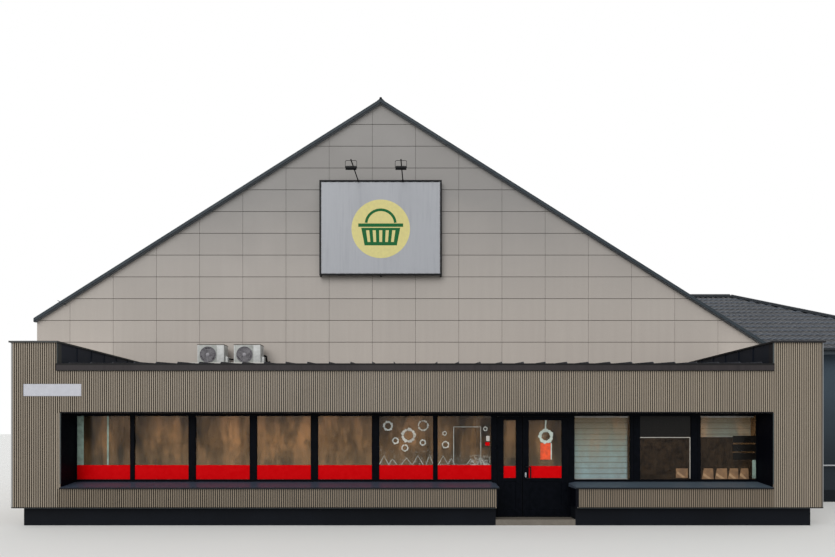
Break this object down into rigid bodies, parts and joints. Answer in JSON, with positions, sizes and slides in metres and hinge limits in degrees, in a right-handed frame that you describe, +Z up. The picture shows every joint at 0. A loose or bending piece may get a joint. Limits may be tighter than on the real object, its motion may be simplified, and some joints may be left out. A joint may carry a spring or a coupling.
{
  "type": "supermarket building",
  "caption": "Gabled supermarket hall with a low ribbed shop front, a double door and window band, and a hipped side wing.",
  "frame": {"origin": "centre of the footprint, on the lowest ground", "axes": "+X to the right along the shop front, +Y from the front to the rear, +Z up"},
  "size_m": [26.47, 25.101, 11.35],
  "materials": {
    "floor_concrete": "trowelled concrete",
    "plinth_dark": "dark render",
    "masonry": "plastered masonry",
    "ribbed_cladding": "ribbed, warm grey-brown",
    "lining_sheet": "smooth, near black",
    "sill_sheet": "folded, dark blue-grey",
    "coping_sheet": "folded, dark grey-brown",
    "dark_sheet": "seamed, dark blue-grey",
    "seamed_roof": "standing seams",
    "frame_paint": "satin near black",
    "handle_paint": "satin black",
    "window_glass": "tinted glazing unit",
    "blind_box": "satin",
    "blind_cloth": "banded roller cloth",
    "facing_panel": "large fibre-cement panels with open joints",
    "roof_tile": "pressed tile sheet",
    "roof_trim": "folded sheet",
    "wing_wall": "smooth dark blue-grey",
    "rail_steel": "brushed tube",
    "sign_steel": "square tube",
    "banner_cloth": "coated sheet, laced",
    "lamp_black": "satin black",
    "unit_case": "enamelled casing"
  },
  "bodies": {
    "root": {"shop_floor": "floor_concrete", "shop_plinth": "plinth_dark", "shop_side_walls": "masonry", "parapet_kerbs": "dark_sheet", "front_piers": "masonry", "front_lintel": "masonry", "apron_walls": "masonry", "end_cladding": "ribbed_cladding", "side_cladding": "ribbed_cladding", "fascia_cladding": "ribbed_cladding", "apron_cladding": "ribbed_cladding", "opening_lining": "lining_sheet", "window_sills": "sill_sheet", "front_coping": "coping_sheet", "parapet_caps": "coping_sheet", "parapet_panels": "dark_sheet", "shop_roof": "seamed_roof", "window_frames": "frame_paint", "window_glass": "window_glass", "door_frame": "frame_paint", "blind_boxes": "blind_box", "blinds": "blind_cloth", "gable_walls": "masonry", "inner_lintels": "masonry", "gable_panels": "facing_panel", "hall_wall_left": "masonry", "hall_wall_right": "masonry", "rear_wall": "masonry", "side_panels": "facing_panel", "hall_floor": "floor_concrete", "hall_roof_left": "roof_tile", "hall_roof_right": "roof_tile", "ridge_caps": "roof_trim", "verge_trims": "roof_trim", "gutters": "roof_trim", "wing_long_walls": "wing_wall", "wing_end_wall": "wing_wall", "wing_roof_front": "roof_tile", "wing_roof_rear": "roof_tile", "wing_roof_end": "roof_tile", "wing_rail": "rail_steel", "sign_frame": "sign_steel", "sign_banner": "banner_cloth", "sign_lamps": "lamp_black", "ac_units": "unit_case", "ac_fittings": "lamp_black"},
    "wide_door": {"door_wide_leaf": "frame_paint", "door_wide_glass": "window_glass", "door_wide_handle": "handle_paint"},
    "narrow_door": {"door_narrow_leaf": "frame_paint", "door_narrow_glass": "window_glass"}
  },
  "joints": [
    {"name": "wide_door_hinge", "type": "hinge", "parent": "root", "child": "wide_door", "pos_m": [0.7175, -12.0885, 1.245], "axis": [0, 0, 1], "range_deg": [0, 90]},
    {"name": "narrow_door_hinge", "type": "hinge", "parent": "root", "child": "narrow_door", "pos_m": [-0.8425, -12.0885, 1.245], "axis": [0, 0, -1], "range_deg": [0, 90]}
  ]
}
